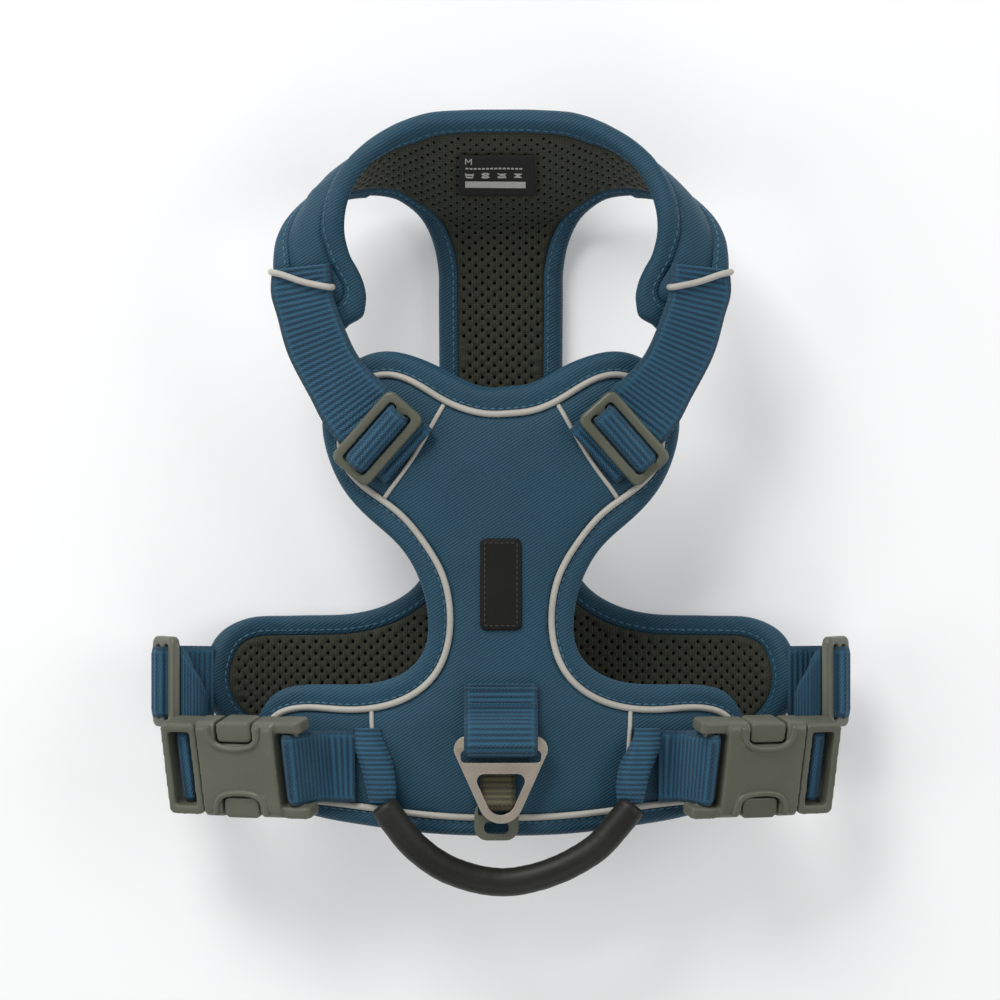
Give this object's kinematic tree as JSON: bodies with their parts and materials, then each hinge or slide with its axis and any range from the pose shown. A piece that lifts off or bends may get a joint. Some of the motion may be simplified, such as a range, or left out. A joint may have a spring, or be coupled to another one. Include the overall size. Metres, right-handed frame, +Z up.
{
  "type": "dog harness",
  "caption": "Padded Y-shaped dog harness: arched back plate, belly panel and chest yoke joined by webbing, sliders and side-release buckles, with lead rings and a carry handle.",
  "frame": {"origin": "on the ground under the middle of the harness's outer box, with the harness laid belly down", "axes": "+Z up, out of the back plate; +Y towards the dog's head; +X to the right seen from above with the head away"},
  "size_m": [0.2418, 0.2705, 0.0588],
  "materials": {
    "shell_twill": "coated polyester twill, dark teal blue",
    "blue_webbing": "ribbed polyester webbing, dark teal blue",
    "khaki_webbing": "narrow woven tape, khaki",
    "mesh_lining": "perforated spacer mesh, dark olive",
    "foam": "closed-cell foam, charcoal",
    "piping": "reflective piping, light grey",
    "olive_plastic": "moulded acetal, satin grey olive",
    "ring_metal": "brushed, champagne anodised",
    "handle_rubber": "matte moulded tube, black",
    "patch": "blank stitched patch, black",
    "label": "woven label, black with light grey"
  },
  "bodies": {
    "harness": {"arm_piping_left": "piping", "arm_piping_right": "piping", "back_plate_binding": "shell_twill", "back_plate_foam": "foam", "back_plate_lining": "mesh_lining", "back_plate_piping": "piping", "back_plate_seam_piping": "piping", "back_plate_shell": "shell_twill", "belly_binding": "shell_twill", "belly_foam": "foam", "belly_lining": "mesh_lining", "belly_shell": "shell_twill", "blank_patch": "patch", "buckle_female_left": "olive_plastic", "buckle_female_right": "olive_plastic", "buckle_webbing_left": "blue_webbing", "buckle_webbing_right": "blue_webbing", "chest_ring_webbing": "blue_webbing", "girth_webbing_fold_left": "blue_webbing", "girth_webbing_fold_right": "blue_webbing", "girth_webbing_left": "blue_webbing", "girth_webbing_right": "blue_webbing", "handle_anchor_left": "blue_webbing", "handle_anchor_right": "blue_webbing", "lead_ring_webbing": "blue_webbing", "neck_webbing_left": "blue_webbing", "neck_webbing_right": "blue_webbing", "size_label": "label", "tag_ring_webbing": "khaki_webbing", "yoke_foam": "foam", "yoke_leg_binding": "shell_twill", "yoke_lining": "mesh_lining", "yoke_neck_binding": "shell_twill", "yoke_shell": "shell_twill"},
    "neck_slider_left": {"neck_slider_left": "olive_plastic", "neck_webbing_loop_left": "blue_webbing"},
    "neck_slider_right": {"neck_slider_right": "olive_plastic", "neck_webbing_loop_right": "blue_webbing"},
    "girth_slider_left": {"girth_slider_left": "olive_plastic", "girth_webbing_loop_left": "blue_webbing"},
    "girth_slider_right": {"girth_slider_right": "olive_plastic", "girth_webbing_loop_right": "blue_webbing"},
    "buckle_plug_left": {"buckle_male_left": "olive_plastic", "male_webbing_loop_left": "blue_webbing"},
    "buckle_plug_right": {"buckle_male_right": "olive_plastic", "male_webbing_loop_right": "blue_webbing"},
    "latch_front_left": {"latch_arm_front_left": "olive_plastic"},
    "latch_rear_left": {"latch_arm_rear_left": "olive_plastic"},
    "latch_front_right": {"latch_arm_front_right": "olive_plastic"},
    "latch_rear_right": {"latch_arm_rear_right": "olive_plastic"},
    "lead_ring": {"lead_ring": "ring_metal"},
    "tag_ring": {"tag_ring": "olive_plastic"},
    "chest_ring": {"chest_ring": "ring_metal"},
    "handle": {"handle_tube": "handle_rubber", "handle_core": "blue_webbing"}
  },
  "joints": [
    {"name": "neck_strap_left_adjust", "type": "hinge", "parent": "harness", "child": "neck_slider_left", "pos_m": [0.01223, 0.08105, 0.05712], "axis": [-0.1349, -0.1083, 0.9849], "range_deg": [-20, 0]},
    {"name": "girth_strap_left_adjust", "type": "slide", "parent": "harness", "child": "girth_slider_left", "axis": [0.5, 0, 0.866], "range_m": [-0.006, 0]},
    {"name": "buckle_left_release", "type": "slide", "parent": "harness", "child": "buckle_plug_left", "axis": [-0.9135, 0, -0.4067], "range_m": [0, 0.028], "deforming": ["latch_arm_front_left", "latch_arm_rear_left", "girth_webbing_fold_left"]},
    {"name": "latch_front_left_squeeze", "type": "hinge", "parent": "buckle_plug_left", "child": "latch_front_left", "pos_m": [-0.10097, -0.07924, 0.03857], "axis": [0.3947, 0.2419, -0.8864], "range_deg": [0, 8], "stiffness_Nm_per_rad": 0.05, "springref_deg": -1.15},
    {"name": "latch_rear_left_squeeze", "type": "hinge", "parent": "buckle_plug_left", "child": "latch_rear_left", "pos_m": [-0.09869, -0.10175, 0.03345], "axis": [-0.3947, -0.2419, 0.8864], "range_deg": [0, 8], "stiffness_Nm_per_rad": 0.05, "springref_deg": -1.15},
    {"name": "neck_strap_right_adjust", "type": "hinge", "parent": "harness", "child": "neck_slider_right", "pos_m": [-0.01223, 0.08105, 0.05712], "axis": [0.1349, -0.1083, 0.9849], "range_deg": [0, 20]},
    {"name": "girth_strap_right_adjust", "type": "slide", "parent": "harness", "child": "girth_slider_right", "axis": [-0.5, 0, 0.866], "range_m": [-0.006, 0]},
    {"name": "buckle_right_release", "type": "slide", "parent": "harness", "child": "buckle_plug_right", "axis": [0.9135, 0, -0.4067], "range_m": [0, 0.028], "deforming": ["latch_arm_front_right", "latch_arm_rear_right", "girth_webbing_fold_right"]},
    {"name": "latch_front_right_squeeze", "type": "hinge", "parent": "buckle_plug_right", "child": "latch_front_right", "pos_m": [0.10097, -0.07924, 0.03857], "axis": [0.3947, -0.2419, 0.8864], "range_deg": [0, 8], "stiffness_Nm_per_rad": 0.05, "springref_deg": -1.15},
    {"name": "latch_rear_right_squeeze", "type": "hinge", "parent": "buckle_plug_right", "child": "latch_rear_right", "pos_m": [0.09869, -0.10175, 0.03345], "axis": [-0.3947, 0.2419, -0.8864], "range_deg": [0, 8], "stiffness_Nm_per_rad": 0.05, "springref_deg": -1.15},
    {"name": "lead_ring_swing", "type": "hinge", "parent": "harness", "child": "lead_ring", "pos_m": [0, -0.0822, 0.0505], "axis": [-1, 0, 0], "range_deg": [0, 120]},
    {"name": "tag_ring_swing", "type": "hinge", "parent": "harness", "child": "tag_ring", "pos_m": [-0.0015, -0.1029, 0.0465], "axis": [-1, 0, 0], "range_deg": [0, 4]},
    {"name": "chest_ring_swing", "type": "hinge", "parent": "harness", "child": "chest_ring", "pos_m": [0, 0.1236, 0.0213], "axis": [1, 0, 0], "range_deg": [-20, 60]},
    {"name": "handle_swing", "type": "hinge", "parent": "harness", "child": "handle", "pos_m": [0.0025, -0.103, 0.048], "axis": [-1, 0, 0], "range_deg": [0, 95]}
  ]
}
